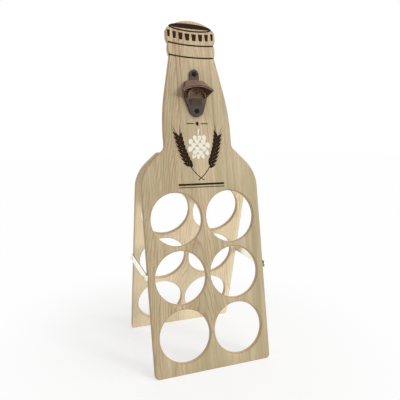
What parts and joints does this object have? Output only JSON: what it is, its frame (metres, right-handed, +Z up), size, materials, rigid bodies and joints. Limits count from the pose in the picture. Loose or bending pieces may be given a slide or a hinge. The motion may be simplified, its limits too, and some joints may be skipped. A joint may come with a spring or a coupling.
{
  "type": "bottle caddy",
  "caption": "Folding wooden A-frame caddy shaped like a bottle, with round bottle holes in both leaning panels, side stays and a cast bottle opener on the neck.",
  "frame": {"origin": "on the floor, half-way between the two feet, under the hinge line", "axes": "+Z up, +X to the right seen from the front, the front panel faces -Y"},
  "size_m": [0.1978, 0.1794, 0.5161],
  "materials": {
    "front_wood": "clear matt",
    "rear_wood": "clear matt",
    "cast_opener": "brown cast",
    "opener_screw": "dark",
    "stay_steel": "bright zinc",
    "hinge_steel": "bright zinc",
    "screw_steel": "zinc"
  },
  "bodies": {
    "front": {"front_panel": "front_wood", "opener_casting": "cast_opener", "opener_lower_screw": "opener_screw", "opener_upper_screw": "opener_screw", "left_hinge_front_leaf": "hinge_steel", "left_hinge_pin": "hinge_steel", "left_hinge_front_screw_a": "screw_steel", "left_hinge_front_screw_b": "screw_steel", "left_stay_catch_screw": "screw_steel", "right_hinge_front_leaf": "hinge_steel", "right_hinge_pin": "hinge_steel", "right_hinge_front_screw_a": "screw_steel", "right_hinge_front_screw_b": "screw_steel", "right_stay_catch_screw": "screw_steel"},
    "rear": {"rear_panel": "rear_wood", "left_hinge_rear_leaf": "hinge_steel", "left_hinge_rear_screw_a": "screw_steel", "left_hinge_rear_screw_b": "screw_steel", "left_stay_pivot_screw": "screw_steel", "left_stay_washer": "stay_steel", "right_hinge_rear_leaf": "hinge_steel", "right_hinge_rear_screw_a": "screw_steel", "right_hinge_rear_screw_b": "screw_steel", "right_stay_pivot_screw": "screw_steel", "right_stay_washer": "stay_steel"},
    "left_stay": {"left_stay_bar": "stay_steel"},
    "right_stay": {"right_stay_bar": "stay_steel"}
  },
  "joints": [
    {"name": "fold", "type": "hinge", "parent": "front", "child": "rear", "pos_m": [0, 0, 0.32133], "axis": [1, 0, 0], "range_deg": [-27.6, 0]},
    {"name": "left_stay_swing", "type": "hinge", "parent": "rear", "child": "left_stay", "pos_m": [-0.094, 0.04985, 0.14565], "axis": [1, 0, 0], "range_deg": [-76.2, 0]},
    {"name": "right_stay_swing", "type": "hinge", "parent": "rear", "child": "right_stay", "pos_m": [0.094, 0.04985, 0.14565], "axis": [1, 0, 0], "range_deg": [-76.2, 0]}
  ],
  "couplings": [
    {"joint": "left_stay_swing", "follows": "fold", "ratio": 2.7609},
    {"joint": "right_stay_swing", "follows": "fold", "ratio": 2.7609}
  ]
}
